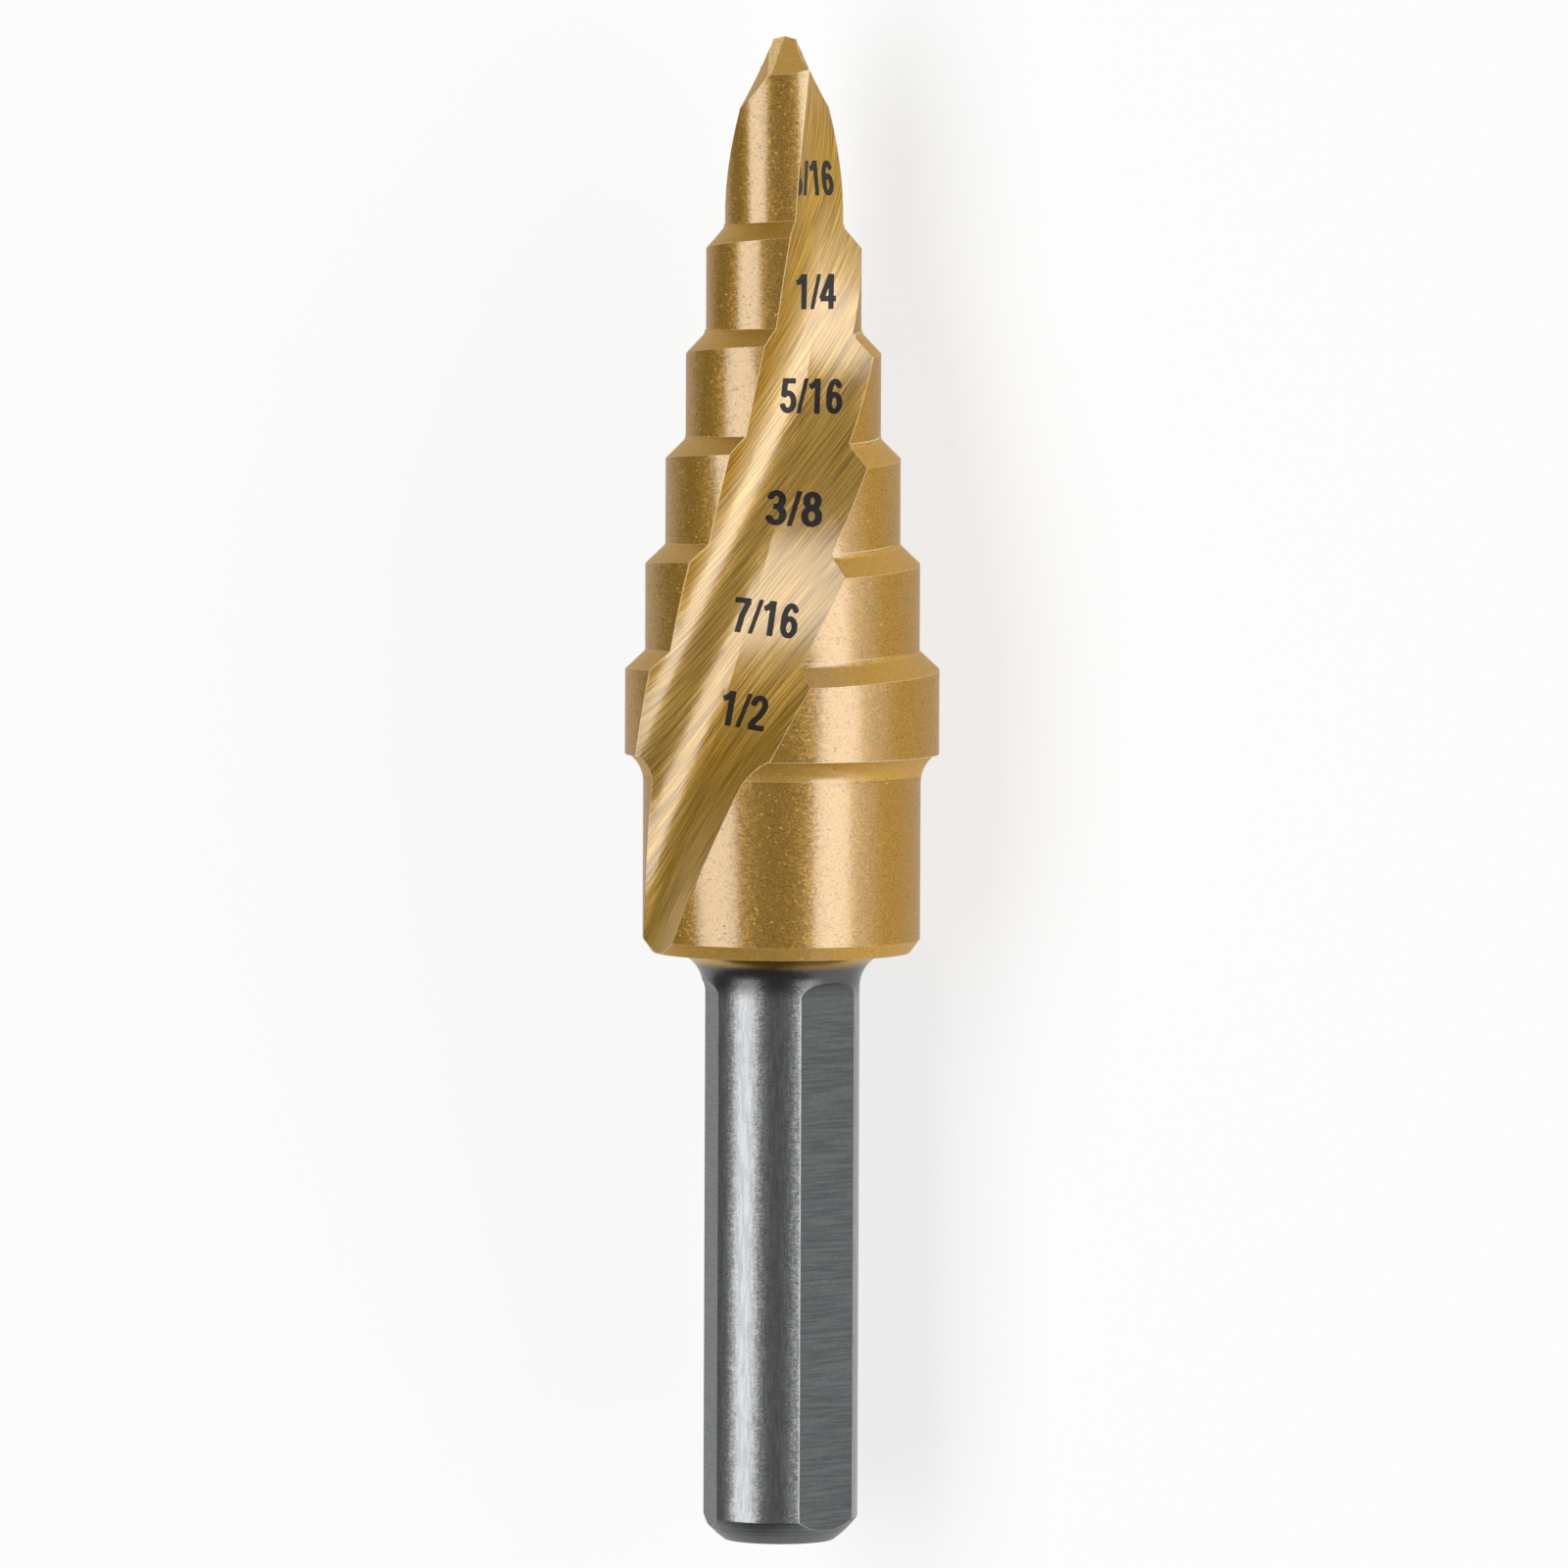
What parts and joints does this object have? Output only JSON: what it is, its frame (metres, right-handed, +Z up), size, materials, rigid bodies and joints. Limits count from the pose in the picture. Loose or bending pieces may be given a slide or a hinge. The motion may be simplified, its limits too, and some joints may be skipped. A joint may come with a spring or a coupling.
{
  "type": "step drill",
  "caption": "Step drill bit: a conical stack of relieved steps with spiral flutes and a chisel point, on a collar and a round shank with ground flats.",
  "frame": {"origin": "on the surface that the drill lies on, under the middle of its length", "axes": "+Y along the drill's axis towards its point, +Z up, +X to the right seen from above with the point away"},
  "size_m": [0.0126, 0.0606, 0.0114],
  "materials": {
    "coated_steel": "ground, gold titanium nitride coating on the head, bare grey steel on the shank"
  },
  "bodies": {
    "root": {"step_drill": "coated_steel"}
  },
  "joints": []
}
